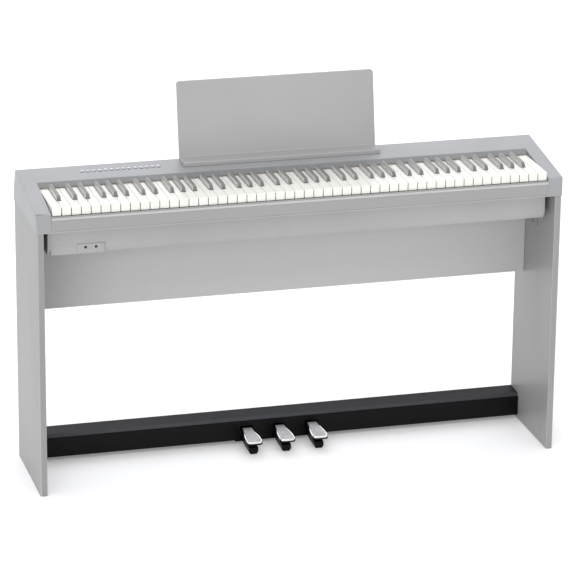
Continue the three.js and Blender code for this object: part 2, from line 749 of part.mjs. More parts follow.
// Fixed arm under each pedal: a channel from the pivot forward to a foot on the floor. The lever's
// keel runs in it, and its walls stay under the lever's plate when the pedal is pressed.
function pedalArm(name, x) {
  const toe = pedalPivotY - pedalReach + footInset;
  const heel = toe + footLength;
  const barFront = yAt(barFrontDepth);
  const rear = pedalPivotY + pivotEar;
  const over = pivotHeight + pedalReach / 2; // clear above the arm
  const webBottom = (webTop - webGauge) / Math.cos(pedalPress);
  const wallTop = pivotHeight + webBottom - armClearance;
  const topAt = (y) => wallTop + (y - pedalPivotY) * Math.tan(pedalPress);
  const shoulder = pedalPivotY - armShoulder;
  const side = [
    [toe, 0],
    [heel, 0],
    [heel + footTaper / 2, footTaper / 2],
    [barFront, barBottom],
    [rear, barBottom],
    [rear, pivotHeight],
    [pedalPivotY, topAt(shoulder)],
    [shoulder, topAt(shoulder)],
    [toe, topAt(toe)],
  ];
  const half = armWidth / 2;
  const inner = half - armWall;
  let solid = toSolid(prismX(side, -half, half));
  const ear = barX(pivotEar, -half, half, 24).translate(0, pedalPivotY, pivotHeight);
  solid = solid.add(toSolid(ear));
  const channel = [
    [toe + channelNose, footTaper],
    [barFront, barBottom + armWall],
    [rear + 1, barBottom + armWall],
    [rear + 1, over],
    [toe + channelNose, over],
  ];
  solid = solid.subtract(toSolid(prismX(channel, -inner, inner)));
  const section = [
    [-footWidth / 2, 0],
    [footWidth / 2, 0],
    [half, footTaper],
    [half, over],
    [-half, over],
    [-half, footTaper],
  ];
  const flanks = prismZ(shapeOf(section), 0, 2 * pedalReach).rotateX(Math.PI / 2);
  solid = solid.intersect(toSolid(flanks.translate(0, rear + 1, 0)));
  solid = solid.subtract(shaftBore(armWidth).translate([0, pedalPivotY, pivotHeight]));
  piece(name, toGeometry(solid), "leverBlack").position.x = x;
}

// The bore's flats clear the shaft's corners.
function shaftBore(width) {
  const sides = 16;
  const radius = (shaftRadius + boreGap) / Math.cos(Math.PI / sides);
  return toSolid(barX(radius, -width, width, sides));
}

// Pedal plate outline, seen from above, with the pivot at the origin and the tip towards -Y: a
// narrow root that widens to a blunt tip.
function pedalOutline(edge, rear) {
  const root = pedalRootWidth / 2 + edge;
  const tip = pedalTipWidth / 2 + edge;
  const reach = pedalReach + edge;
  const shape = new THREE.Shape();
  shape.moveTo(root, -rear);
  shape.lineTo(-root, -rear);
  shape.lineTo(-root, -pedalWaist);
  shape.bezierCurveTo(-root, -pedalWaist - 16, -tip, -reach + 42, -tip, -reach + 19);
  shape.bezierCurveTo(-tip, -reach + 7, -tip + 2, -reach + 1.2, -tip + 7, -reach + 0.8);
  shape.quadraticCurveTo(-tip / 2, -reach, 0, -reach);
  shape.quadraticCurveTo(tip / 2, -reach, tip - 7, -reach + 0.8);
  shape.bezierCurveTo(tip - 2, -reach + 1.2, tip, -reach + 7, tip, -reach + 19);
  shape.bezierCurveTo(tip, -reach + 42, root, -pedalWaist - 16, root, -pedalWaist);
  return shape;
}

// A pedal plate on its lever: a plate of the same outline with a keel under it, round the shaft.
function pedal(name, x) {
  const frame = new THREE.Group();
  frame.position.set(x, pedalPivotY, pivotHeight);
  frame.rotation.x = pedalTilt;
  const side = [
    [-keelNose, -2],
    [-keelBelly, 0.5 - leverEar - 1],
    [4, 0.5 - leverEar],
    [leverEar, 0],
    [4, leverEar - 0.5],
    [-2 * leverEar, webTop],
    [-keelNose, webTop],
  ];
  const keel = toSolid(prismX(side, -keelWidth / 2, keelWidth / 2));
  const ear = toSolid(barX(leverEar, -keelWidth / 2, keelWidth / 2, 24));
  const web = toSolid(prismZ(pedalOutline(webEdge, webRear), webTop - webGauge, webTop, 5));
  const lever = keel.add(ear).add(web).subtract(shaftBore(keelWidth));
  piece(`pedal_lever_${name}`, toGeometry(lever), "leverBlack", frame);
  const cap = prismZ(pedalOutline(0, pedalRear), webTop + restGap, pedalTop, 5);
  piece(`pedal_cap_${name}`, cap, "chrome", frame);
  piano.add(frame);
}

function pedals() {
  for (const [i, name] of ["left", "middle", "right"].entries()) {
    const x = (i - 1) * pedalSpacing;
    pedal(name, x);
    pedalArm(`pedal_arm_${name}`, x);
  }
}

sidePanel("left_side_panel", -1);
sidePanel("right_side_panel", 1);
apronBoard();
pianoBracket("left_piano_bracket", -1);
pianoBracket("right_piano_bracket", 1);
topCase();
bottomCase();
headphoneJackBox();
rearJackPanel();
keySlip();
rearTrim();
keyChassis();
keyboard();
buttons();
mainBoard();
speaker("left_speaker", -speakerX);
speaker("right_speaker", speakerX);
musicRest();
pedalBar();
pedals();

export default piano;
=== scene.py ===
import math
import bmesh
import bpy
from mathutils import Matrix, Vector


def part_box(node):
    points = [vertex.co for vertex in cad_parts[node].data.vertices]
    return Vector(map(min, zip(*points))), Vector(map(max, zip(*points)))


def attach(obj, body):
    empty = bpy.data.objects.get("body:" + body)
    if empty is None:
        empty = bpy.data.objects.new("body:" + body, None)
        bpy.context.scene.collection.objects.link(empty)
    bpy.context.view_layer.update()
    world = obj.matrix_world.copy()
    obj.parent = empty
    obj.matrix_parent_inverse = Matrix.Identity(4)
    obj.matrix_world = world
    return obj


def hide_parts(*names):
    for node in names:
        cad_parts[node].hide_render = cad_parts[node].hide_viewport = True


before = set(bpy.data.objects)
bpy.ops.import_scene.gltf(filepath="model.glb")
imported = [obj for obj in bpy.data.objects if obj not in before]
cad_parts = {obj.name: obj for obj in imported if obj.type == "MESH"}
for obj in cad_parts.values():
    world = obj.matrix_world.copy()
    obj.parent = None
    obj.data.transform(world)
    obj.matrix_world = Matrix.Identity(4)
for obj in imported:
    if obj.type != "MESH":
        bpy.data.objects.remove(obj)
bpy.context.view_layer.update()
fixedBody = "piano_and_stand"
mm = 0.001


# ---- finishes
# hex sRGB to the linear values that the shader wants
def toLinear(hexColour):
    channels = [int(hexColour[i:i + 2], 16) / 255 for i in (1, 3, 5)]
    return [c / 12.92 if c <= 0.04045 else ((c + 0.055) / 1.055) ** 2.4 for c in channels] + [1.0]


# one node with its settings; an input given as a socket is linked, anything else is set
def addNode(tree, kind, inputs=None, **settings):
    node = tree.nodes.new(kind)
    for name, value in settings.items():
        setattr(node, name, value)
    for name, value in (inputs or {}).items():
        if isinstance(value, bpy.types.NodeSocket):
            tree.links.new(value, node.inputs[name])
        else:
            node.inputs[name].default_value = value
    return node


def newFinish(name):
    finish = bpy.data.materials.new(name)
    finish.use_nodes = True
    finish.node_tree.nodes.clear()
    return finish, finish.node_tree


# the shader and its output; what is the same all over is set on the shader itself
def closeFinish(tree, inputs):
    shader = addNode(tree, "ShaderNodeBsdfPrincipled", inputs)
    addNode(tree, "ShaderNodeOutputMaterial", {"Surface": shader.outputs["BSDF"]})


# where the two noises together run from and to, spread over the two shades and glosses
noiseSpan = {"From Min": 0.75, "From Max": 1.25}


# A moulded, foiled or coated surface: grit in the bump, and a slow drift of shade and gloss.
# grit and drift are their real sizes in mm; the grit is drawn coarser than life so that it shows.
def surfaceFinish(name, look):
    finish, tree = newFinish(name)
    place = addNode(tree, "ShaderNodeTexCoord")
    along = addNode(tree, "ShaderNodeMapping", {
        "Vector": place.outputs["Object"], "Scale": look.get("stretch", (1, 1, 1)),
    })
    grit = addNode(tree, "ShaderNodeTexNoise", {
        "Vector": along.outputs["Vector"], "Scale": 1 / (look["grit"] * mm), "Detail": 3.0,
    })
    drift = addNode(tree, "ShaderNodeTexNoise", {
        "Vector": along.outputs["Vector"], "Scale": 1 / (look["drift"] * mm), "Detail": 2.0,
    })
    mixed = addNode(tree, "ShaderNodeMath", {
        0: drift.outputs["Fac"], 1: grit.outputs["Fac"],
    }, operation="ADD")
    tone = addNode(tree, "ShaderNodeMapRange", {"Value": mixed.outputs["Value"], **noiseSpan})
    shade = addNode(tree, "ShaderNodeMix", {
        0: tone.outputs["Result"], 6: toLinear(look["colour"]), 7: toLinear(look["shade"]),
    }, data_type="RGBA")
    gloss = addNode(tree, "ShaderNodeMapRange", {
        "Value": mixed.outputs["Value"], **noiseSpan,
        "To Min": look["rough"] - look["spread"], "To Max": look["rough"] + look["spread"],
    })
    bump = addNode(tree, "ShaderNodeBump", {
        "Height": grit.outputs["Fac"], "Strength": look.get("bump", 0.3), "Distance": look["depth"] * mm,
    })
    inputs = {
        "Base Color": shade.outputs[2], "Roughness": gloss.outputs["Result"],
        "Normal": bump.outputs["Normal"], "Metallic": look.get("metal", 0.0),
    }
    inputs.update(look.get("fixed", {}))
    closeFinish(tree, inputs)
    return finish


# spark-eroded ABS: an even fine grain that dulls the light
caseAbs = surfaceFinish("caseAbsSparkGrain", {
    "colour": "#939496", "shade": "#8e8f91", "grit": 1.6, "drift": 240, "rough": 0.4, "spread": 0.05,
    "depth": 0.08, "fixed": {"IOR": 1.53, "Specular IOR Level": 0.4},
})
# the tray under it: the same plastic from a plainer tool, painted paler than the case to lift the shade
# under it
trayAbsPaintedLight = surfaceFinish("trayAbsPlainGrainPaintedLight", {
    "colour": "#a0a0a0", "shade": "#9a9a9a", "grit": 2.0, "drift": 180, "rough": 0.62, "spread": 0.05,
    "depth": 0.1, "fixed": {"IOR": 1.53, "Specular IOR Level": 0.35},
})
# particle board wrapped in paper foil: a faint pore pattern drawn out along the board's length
uprightFoil = surfaceFinish("uprightBoardFoil", {
    "colour": "#8c8c8c", "shade": "#878787", "grit": 1.4, "drift": 160, "rough": 0.4, "spread": 0.05,
    "depth": 0.06, "stretch": (1, 1, 0.12), "fixed": {"IOR": 1.5, "Specular IOR Level": 0.45},
})
# rounded front corners of the boards and the case: a paler, glossier copy of the foil, a painted
# highlight along each corner
cornerPaintedHighlight = surfaceFinish("frontCornerPaintedHighlight", {
    "colour": "#a2a2a2", "shade": "#9a9a9a", "grit": 1.4, "drift": 160, "rough": 0.35, "spread": 0.05,
    "depth": 0.04, "stretch": (1, 1, 0.12), "fixed": {"IOR": 1.5},
})
# the same foil on the board that lies along the piano: its pores run sideways, and it is painted paler
# to lift the shade under the piano
levelFoilPaintedLight = surfaceFinish("levelBoardFoilPaintedLight", {
    "colour": "#aeaeae", "shade": "#a8a8a8", "grit": 1.4, "drift": 160, "rough": 0.55, "spread": 0.05,
    "depth": 0.06, "stretch": (0.12, 1, 1), "fixed": {"IOR": 1.5, "Specular IOR Level": 0.35},
})
# the slip rail in the same foil, a shade deeper than the apron's
slipFoil = surfaceFinish("slipBoardFoil", {
    "colour": "#949494", "shade": "#8f8f8f", "grit": 1.4, "drift": 160, "rough": 0.55, "spread": 0.05,
    "depth": 0.06, "stretch": (0.12, 1, 1), "fixed": {"IOR": 1.5, "Specular IOR Level": 0.35},
})
# the rest's moulded ABS: satin and very even, so its broad face reads as one tone
restAbs = surfaceFinish("restAbsSatin", {
    "colour": "#9f9f9f", "shade": "#9a9a9a", "grit": 1.8, "drift": 200, "rough": 0.48, "spread": 0.04,
    "depth": 0.06, "fixed": {"IOR": 1.53, "Specular IOR Level": 0.4},
})
# key tops: cast acrylic resin, polished fronts, almost no texture
keyResin = surfaceFinish("whiteKeyCastResin", {
    "colour": "#e4e4dd", "shade": "#dfdfd8", "grit": 1.2, "drift": 60, "rough": 0.3, "spread": 0.05,
    "depth": 0.02, "bump": 0.15, "fixed": {"IOR": 1.49, "Coat Weight": 0.15, "Coat Roughness": 0.2},
})
# sharps: grey filled resin with a faint grain along the key; the flanks are smoother and painted
# paler, a painted reflection of the white keys
sharpResin = surfaceFinish("sharpKeyFilledResin", {
    "colour": "#767675", "shade": "#696968", "grit": 0.9, "drift": 60, "rough": 0.3, "spread": 0.05,
    "depth": 0.02, "stretch": (1, 0.15, 1), "fixed": {"IOR": 1.5},
})
flankPaintedReflection = surfaceFinish("sharpKeyFlankPaintedReflection", {
    "colour": "#bcbcba", "shade": "#b2b2b0", "grit": 0.9, "drift": 60, "rough": 0.25, "spread": 0.04,
    "depth": 0.01, "stretch": (1, 0.15, 1), "fixed": {"IOR": 1.5},
})
# smoked ABS behind the keys: dark enough to set the key tops off
trimAbs = surfaceFinish("rearTrimSmokedAbs", {
    "colour": "#757676", "shade": "#6b6c6c", "grit": 1.4, "drift": 120, "rough": 0.45, "spread": 0.05,
    "depth": 0.05, "fixed": {"IOR": 1.53},
})
# needled wool felt: a soft nap, so it has sheen and no gloss
woolFelt = surfaceFinish("dampingWoolFelt", {
    "colour": "#a38e8b", "shade": "#948180", "grit": 0.8, "drift": 14, "rough": 0.95, "spread": 0.04,
    "depth": 0.3, "bump": 0.8, "fixed": {"Sheen Weight": 0.5, "Sheen Roughness": 0.5},
})
# a smooth satin strip in a pale colour: a painted highlight, one clean pale line along the slip's top
# edge under the keys
slipPaintedHighlight = surfaceFinish("slipStripPaintedHighlight", {
    "colour": "#b6b6b5", "shade": "#adadac", "grit": 1.2, "drift": 90, "rough": 0.35, "spread": 0.05,
    "depth": 0.02, "fixed": {"IOR": 1.5},
})
# small moulded buttons: a fine matt skin with a cool cast
buttonAbs = surfaceFinish("buttonAbsFineMatt", {
    "colour": "#8d8e9a", "shade": "#84858f", "grit": 0.6, "drift": 9, "rough": 0.42, "spread": 0.05,
    "depth": 0.03, "fixed": {"IOR": 1.53},
})
# white screen-print ink: thin, chalky and a little uneven
printInk = surfaceFinish("screenPrintInkWhite", {
    "colour": "#f6f6f4", "shade": "#ececea", "grit": 0.4, "drift": 6, "rough": 0.6, "spread": 0.04,
    "depth": 0.02,
})
# the pedal bar: board in near-black foil, its top satin and its front glossier
barTopFoil = surfaceFinish("barTopFoilNearBlack", {
    "colour": "#1a1b1e", "shade": "#15161a", "grit": 1.4, "drift": 110, "rough": 0.55, "spread": 0.06,
    "depth": 0.06, "stretch": (0.12, 1, 1), "fixed": {"IOR": 1.5, "Specular IOR Level": 0.12},
})
# the cover's sloped front edge, in a paler foil than its top
barEdgeFoil = surfaceFinish("barEdgeFoilPaler", {
    "colour": "#3d3e42", "shade": "#333438", "grit": 1.4, "drift": 70, "rough": 0.45, "spread": 0.08,
    "depth": 0.05, "stretch": (0.12, 1, 1), "fixed": {"IOR": 1.5, "Specular IOR Level": 0.3},
})
barFrontFoil = surfaceFinish("barFrontFoilBlack", {
    "colour": "#0b0b0d", "shade": "#08080a", "grit": 1.4, "drift": 110, "rough": 0.3, "spread": 0.05,
    "depth": 0.04, "stretch": (0.12, 1, 1), "fixed": {"IOR": 1.5, "Specular IOR Level": 0.12},
})
# polyester powder coat on pressed steel: slight orange peel, low gloss
powderBlack = surfaceFinish("leverPowderCoatBlack", {
    "colour": "#08080a", "shade": "#050506", "grit": 1.8, "drift": 40, "rough": 0.4, "spread": 0.06,
    "depth": 0.12, "bump": 0.4, "fixed": {"IOR": 1.5, "Specular IOR Level": 0.12},
})
# cast pedal plates: satin nickel field, polished rim
satinNickel = surfaceFinish("pedalNickelSatin", {
    "colour": "#b0b0b1", "shade": "#a2a2a4", "grit": 0.9, "drift": 9, "rough": 0.6, "spread": 0.08,
    "depth": 0.06, "bump": 0.5, "metal": 0.85,
})
polishedNickel = surfaceFinish("pedalNickelPolished", {
    "colour": "#eeeeec", "shade": "#e2e2e0", "grit": 2.0, "drift": 25, "rough": 0.14, "spread": 0.04,
    "depth": 0.01, "metal": 1.0,
})
# zinc plate: a pale patchy spangle over cold-rolled steel
zincPlate = surfaceFinish("bracketZincPlate", {
    "colour": "#b4b7ba", "shade": "#9a9ea2", "grit": 3.0, "drift": 22, "rough": 0.38, "spread": 0.1,
    "depth": 0.03, "metal": 1.0,
})
# steel blackened in a bath: dark, with a dull metal glint
blackOxide = surfaceFinish("screwBlackOxide", {
    "colour": "#1d1d1f", "shade": "#151517", "grit": 0.6, "drift": 5, "rough": 0.42, "spread": 0.06,
    "depth": 0.03, "metal": 1.0,
})
# moulded rubber: dry and near-black, it gives nothing back to the light
footRubber = surfaceFinish("footRubberMoulded", {
    "colour": "#141414", "shade": "#0e0e0e", "grit": 0.7, "drift": 12, "rough": 0.85, "spread": 0.05,
    "depth": 0.1, "fixed": {"Specular IOR Level": 0.3},
})
# solder mask over copper: smooth green with a slight gloss
solderMask = surfaceFinish("boardSolderMaskGreen", {
    "colour": "#1f5a38", "shade": "#184a2d", "grit": 2.5, "drift": 16, "rough": 0.4, "spread": 0.05,
    "depth": 0.04,
})
# pressed paper pulp: soft, fibrous and dark
pressedPaper = surfaceFinish("speakerPressedPaper", {
    "colour": "#262626", "shade": "#1c1c1c", "grit": 0.7, "drift": 9, "rough": 0.85, "spread": 0.05,
    "depth": 0.15, "bump": 0.6,
})


# a lamp's lens: tinted clear plastic over a small light
def lampFinish(name, colour, strength):
    finish, tree = newFinish(name)
    closeFinish(tree, {
        "Base Color": toLinear(colour), "Roughness": 0.2, "IOR": 1.49,
        "Emission Color": toLinear(colour), "Emission Strength": strength,
    })
    return finish


print("finishes ready:", len(bpy.data.materials))


# ---- making pieces
# in degrees: a corner that turns more than the first is rounded, and one below the second reads smooth
bends = {"round": 30, "smooth": 38}


def newPiece(name, mesh):
    piece = bpy.data.objects.new(name, mesh)
    bpy.context.scene.collection.objects.link(piece)
    return piece


# the piece's evaluated shape becomes its plain mesh, with no modifier left
def makePlain(piece):
    graph = bpy.context.evaluated_depsgraph_get()
    mesh = bpy.data.meshes.new_from_object(piece.evaluated_get(graph), depsgraph=graph)
    piece.modifiers.clear()
    piece.data = mesh
    return piece


# rounded edges read smooth and flats stay flat
def settle(piece, smoothBelow=bends["smooth"]):
    piece.data.polygons.foreach_set("use_smooth", [True] * len(piece.data.polygons))
    piece.data.set_sharp_from_angle(angle=math.radians(smoothBelow))
    weigh = piece.modifiers.new("weighFlats", "WEIGHTED_NORMAL")
    weigh.keep_sharp = True
    return makePlain(piece)


def place(piece, slotName, body=fixedBody, stands=()):
    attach(piece, body)
    if stands:
        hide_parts(*stands)


def meshOf(work, name, finishes=()):
    bmesh.ops.recalc_face_normals(work, faces=work.faces)
    mesh = bpy.data.meshes.new(name)
    work.to_mesh(mesh)
    work.free()
    for finish in finishes:
        mesh.materials.append(finish)
    return mesh


def convexEdges(work, pick):
    return [
        edge for edge in work.edges
        if len(edge.link_faces) == 2
        and edge.calc_face_angle_signed(0) > math.radians(bends["round"])
        and pick(edge)
    ]


def roundEdges(work, radius, steps=2, pick=lambda edge: True):
    bmesh.ops.bevel(
        work, geom=convexEdges(work, pick), offset=radius * mm, offset_type="OFFSET",
        segments=steps, profile=0.5, affect="EDGES", clamp_overlap=False,
    )


# edges long enough to take the rounding; short ones belong to holes and arcs
def longerThan(length, above=-1.0):
    return lambda edge: (
        edge.calc_length() > length * mm and min(v.co.z for v in edge.verts) > above
    )


# how near CAD points lie to be one, in mm, and how flat faces lie to be one, in degrees
cadWeld = {"apart": 0.003, "bend": 0.5}


# a CAD node's shape to work on, its flat triangles joined into whole faces
def flatWork(node):
    work = bmesh.new()
    work.from_mesh(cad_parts[node].data)
    bmesh.ops.remove_doubles(work, verts=work.verts, dist=cadWeld["apart"] * mm)
    bmesh.ops.dissolve_limit(
        work, angle_limit=math.radians(cadWeld["bend"]), verts=work.verts, edges=work.edges,
    )
    return work


# a closed copy of a CAD node with its outer edges rounded
def roundedCopy(node, name, finishes, radius, steps=2, pick=longerThan(2.5)):
    work = flatWork(node)
    roundEdges(work, radius, steps, pick=pick)
    return settle(newPiece(name, meshOf(work, name, finishes)))


# how far a face turns to count: forwards, towards a side, or almost fully sideways
facing = {"front": -0.2, "side": 0.2, "flank": 0.9}


def isFront(face):
    return face.normal.y < facing["front"]


def isFrontCorner(face):
    return isFront(face) and abs(face.normal.x) > facing["side"]


def isFlank(face):
    return abs(face.normal.x) > facing["flank"]


# the faces that pass the test take another finish
def paint(piece, finish, test):
    piece.data.materials.append(finish)
    last = len(piece.data.materials) - 1
    for face in piece.data.polygons:
        if test(face):
            face.material_index = last


# adds a finished shape to the one being built
def mergeInto(work, part):
    mesh = bpy.data.meshes.new("part")
    part.to_mesh(mesh)
    part.free()
    work.from_mesh(mesh)
    bpy.data.meshes.remove(mesh)


# a closed prism over an (x, y) outline, its edges rounded except round the bottom
def addPrism(work, outline, low, high, radius=0):
    part = bmesh.new()
    bottom = [part.verts.new((x, y, low)) for x, y in outline]
    top = [part.verts.new((x, y, high)) for x, y in outline]
    part.faces.new(bottom[::-1])
    part.faces.new(top)
    count = len(outline)
    for i in range(count):
        j = (i + 1) % count
        part.faces.new((bottom[i], bottom[j], top[j], top[i]))
    bmesh.ops.recalc_face_normals(part, faces=part.faces)
    if radius > 0:
        aboveFoot = low + 0.001 * mm
        roundEdges(part, radius, pick=lambda edge: max(v.co.z for v in edge.verts) > aboveFoot)
    mergeInto(work, part)


def boxOutline(x0, x1, y0, y1):
    return [(x0, y0), (x1, y0), (x1, y1), (x0, y1)]


# closed skin over a list of rings with equal point counts, capped at both ends
def addLoft(work, rings):
    loops = [[work.verts.new(point) for point in ring] for ring in rings]
    count = len(loops[0])
    for near, far in zip(loops, loops[1:]):
        for i in range(count):
            j = (i + 1) % count
            work.faces.new((near[i], near[j], far[j], far[i]))
    work.faces.new(loops[0][::-1])
    work.faces.new(loops[-1])


# ---- the even row: one template repeated at a fixed step
def buildEvenRow():
    tree = bpy.data.node_groups.new("evenRow", "GeometryNodeTree")
    tree.interface.new_socket("Geometry", in_out="INPUT", socket_type="NodeSocketGeometry")
    kinds = {"Template": "Object", "Count": "Int", "Step": "Vector", "Finish": "Material"}
    for name, kind in kinds.items():
        tree.interface.new_socket(name, in_out="INPUT", socket_type="NodeSocket" + kind)
    tree.interface.new_socket("Geometry", in_out="OUTPUT", socket_type="NodeSocketGeometry")
    given = addNode(tree, "NodeGroupInput")
    template = addNode(tree, "GeometryNodeObjectInfo", {"Object": given.outputs["Template"]})
    line = addNode(tree, "GeometryNodeMeshLine", {
        "Count": given.outputs["Count"], "Offset": given.outputs["Step"],
    })
    copies = addNode(tree, "GeometryNodeInstanceOnPoints", {
        "Points": line.outputs["Mesh"], "Instance": template.outputs["Geometry"],
    })
    real = addNode(tree, "GeometryNodeRealizeInstances", {"Geometry": copies.outputs["Instances"]})
    painted = addNode(tree, "GeometryNodeSetMaterial", {
        "Geometry": real.outputs["Geometry"], "Material": given.outputs["Finish"],
    })
    addNode(tree, "NodeGroupOutput", {"Geometry": painted.outputs["Geometry"]})
    return tree


evenRow = buildEvenRow()


# a plain mesh of count copies of the template mesh, each a step from the last
def repeatMesh(name, templateMesh, count, step, finish):
    template = newPiece("rowTemplate", templateMesh)
    piece = newPiece(name, bpy.data.meshes.new(name))
    row = piece.modifiers.new("row", "NODES")
    row.node_group = evenRow
    values = {"Template": template, "Count": count, "Step": step, "Finish": finish}
    for item in evenRow.interface.items_tree:
        if item.in_out == "INPUT" and item.name in values:
            row[item.identifier] = values[item.name]
    makePlain(piece)
    bpy.data.objects.remove(template)
    return piece


# ---- camera and stage
viewpoint = {
    "place": (-2.015, -7.2755, 3.0324), "pan": 15.47, "tilt": -19.02, "roll": -0.57, "lens": 204.6,
    "far": 100,
}
studio = {"floor": "#e8e8e8", "rough": 0.9, "glow": 0.17, "halfSide": 40, "sky": 0.85}
# broad soft lights: the way each one comes from, its strength and how wide it looks in degrees
softLights = {
    "softAbove": {"from": (-0.2, -0.3, 1.0), "strength": 0.9, "wide": 70, "colour": "#fafbff"},
    "softBack": {"from": (0.1, 0.8, 0.9), "strength": 1.0, "wide": 60, "colour": "#f6f8ff"},
    "softFront": {"from": (-0.6, -1.0, 0.12), "strength": 1.25, "wide": 35, "colour": "#ffffff"},
}


def buildStage():
    lens = bpy.data.cameras.new("camera")
    lens.lens = viewpoint["lens"]
    lens.clip_end = viewpoint["far"]
    camera = newPiece("camera", lens)
    turn = Matrix.Rotation(math.radians(-viewpoint["pan"]), 4, "Z")
    turn @= Matrix.Rotation(math.radians(90 + viewpoint["tilt"]), 4, "X")
    turn @= Matrix.Rotation(math.radians(-viewpoint["roll"]), 4, "Z")
    camera.matrix_world = Matrix.Translation(viewpoint["place"]) @ turn
    bpy.context.scene.camera = camera
    bpy.context.scene.view_settings.view_transform = "Standard"

    world = bpy.data.worlds.new("studioWorld")
    world.use_nodes = True
    world.node_tree.nodes.clear()
    sky = addNode(world.node_tree, "ShaderNodeBackground", {
        "Color": (1, 1, 1, 1), "Strength": studio["sky"],
    })
    addNode(world.node_tree, "ShaderNodeOutputWorld", {"Surface": sky.outputs["Background"]})
    bpy.context.scene.world = world

    for name, soft in softLights.items():
        light = bpy.data.lights.new(name, "SUN")
        light.energy = soft["strength"]
        light.angle = math.radians(soft["wide"])
        light.color = toLinear(soft["colour"])[:3]
        lamp = newPiece(name, light)
        lamp.rotation_euler = Vector(soft["from"]).to_track_quat("Z", "Y").to_euler()

    finish, tree = newFinish("studioFloorPaper")
    closeFinish(tree, {
        "Base Color": toLinear(studio["floor"]), "Roughness": studio["rough"],
        "Specular IOR Level": 0.0, "Emission Color": (1, 1, 1, 1), "Emission Strength": studio["glow"],
    })
    work = bmesh.new()
    bmesh.ops.create_grid(work, x_segments=1, y_segments=1, size=studio["halfSide"])
    floor = newPiece("studioFloor", meshOf(work, "studioFloor", [finish]))


buildStage()
print("camera, lights and floor ready")


# ---- stand
standEdges = {"panel": 0.9, "apron": 0.8, "bracket": 0.5}


def buildStand():
    for side in ("left", "right"):
        node = side + "_side_panel"
        panel = roundedCopy(node, side + "PanelBoard", [uprightFoil], standEdges["panel"])
        # the rounded front corners take the painted highlight
        paint(panel, cornerPaintedHighlight, isFrontCorner)
        place(panel, "board_laminate", stands=[node])
        node = side + "_piano_bracket"
        bracket = roundedCopy(node, side + "BracketAngle", [zincPlate], standEdges["bracket"])
        place(bracket, "frame_steel", stands=[node])
    # the apron takes the foil painted paler against the shade under the piano
    apron = roundedCopy("apron_board", "apronBoard", [levelFoilPaintedLight], standEdges["apron"])
    place(apron, "board_laminate", stands=["apron_board"])


buildStand()
print("stand ready")

# ---- case
caseEdges = {
    "shell": 0.9, "tray": 0.8, "slip": 0.4, "trim": 0.3, "jack": 0.6, "sockets": 0.4,
    "shortest": 60, "aboveSeam": 1.0,
}


def buildCase():
    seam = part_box("top_case")[0].z + caseEdges["aboveSeam"] * mm
    picked = longerThan(caseEdges["shortest"], seam)
    shell = roundedCopy("top_case", "topShell", [caseAbs], caseEdges["shell"], 3, picked)
    # the rounded front corners take the painted highlight
    paint(shell, cornerPaintedHighlight, isFrontCorner)
    place(shell, "case_plastic", stands=["top_case"])
    # the tray takes the plastic painted paler against the shade under the case
    picked = longerThan(caseEdges["shortest"])
    tray = roundedCopy("bottom_case", "lowerTray", [trayAbsPaintedLight], caseEdges["tray"], pick=picked)
    place(tray, "lower_plastic", stands=["bottom_case"])
    slip = roundedCopy("key_slip", "keySlipRail", [slipFoil], caseEdges["slip"], 3)
    place(slip, "board_laminate", stands=["key_slip"])
    trim = roundedCopy("key_rear_trim", "rearTrimStrip", [trimAbs], caseEdges["trim"])
    place(trim, "trim_plastic", stands=["key_rear_trim"])
    # the jack box and socket panel take the same plastic painted paler against the shade
    jacks = roundedCopy("headphone_jack_box", "jackBoxMoulding", [trayAbsPaintedLight], caseEdges["jack"])
    place(jacks, "lower_plastic", stands=["headphone_jack_box"])
    sockets = roundedCopy("rear_jack_panel", "rearSocketPanel", [trayAbsPaintedLight], caseEdges["sockets"])
    place(sockets, "lower_plastic", stands=["rear_jack_panel"])


# round-headed screws with a round recess; taper and stand are shares of the head's size and height
socketScrews = {
    "count": 2, "sides": 24, "head": 2.6, "taper": 0.8, "proud": 0.9, "stand": 0.4,
    "recess": 1.3, "wall": 0.1, "deep": 0.6, "inset": 7.5,
}


# one screw at each end of the rear socket panel
def buildSocketScrews():
    low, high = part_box("rear_jack_panel")
    work = bmesh.new()
    bmesh.ops.create_cone(
        work, cap_ends=True, segments=socketScrews["sides"], radius1=socketScrews["head"] * mm,
        radius2=socketScrews["taper"] * socketScrews["head"] * mm, depth=socketScrews["proud"] * mm,
    )
    top = max(work.faces, key=lambda face: face.normal.z)
    bmesh.ops.inset_region(
        work, faces=[top], thickness=socketScrews["recess"] * mm / 2, depth=0, use_even_offset=True,
    )
    bmesh.ops.inset_region(
        work, faces=[top], thickness=socketScrews["wall"] * mm,
        depth=-socketScrews["deep"] * mm, use_even_offset=True,
    )
    first = Vector((low.x + socketScrews["inset"] * mm, high.y, (low.z + high.z) / 2))
    first.y += socketScrews["stand"] * socketScrews["proud"] * mm
    work.transform(Matrix.Translation(first) @ Matrix.Rotation(math.radians(-90), 4, "X"))
    apart = high.x - low.x - 2 * socketScrews["inset"] * mm
    step = (apart / (socketScrews["count"] - 1), 0, 0)
    screw = meshOf(work, "screw")
    screws = repeatMesh("socketPanelScrews", screw, socketScrews["count"], step, blackOxide)
    place(screws, "lower_plastic")


buildCase()
buildSocketScrews()
print("case ready")

# ---- keys
keys = {
    "gap": 0.9, "slot": 1.1, "plate": 2.2, "lip": 0.6, "bond": 0.1, "edge": 0.6,
    "sharpSlot": 5.0, "sharpCrown": 4.2, "sharpRound": 1.5, "roundShare": 0.6, "roundSteps": 4,
    "crownGap": 1.0, "tailLap": 2.0, "tailRise": 0.6,
}
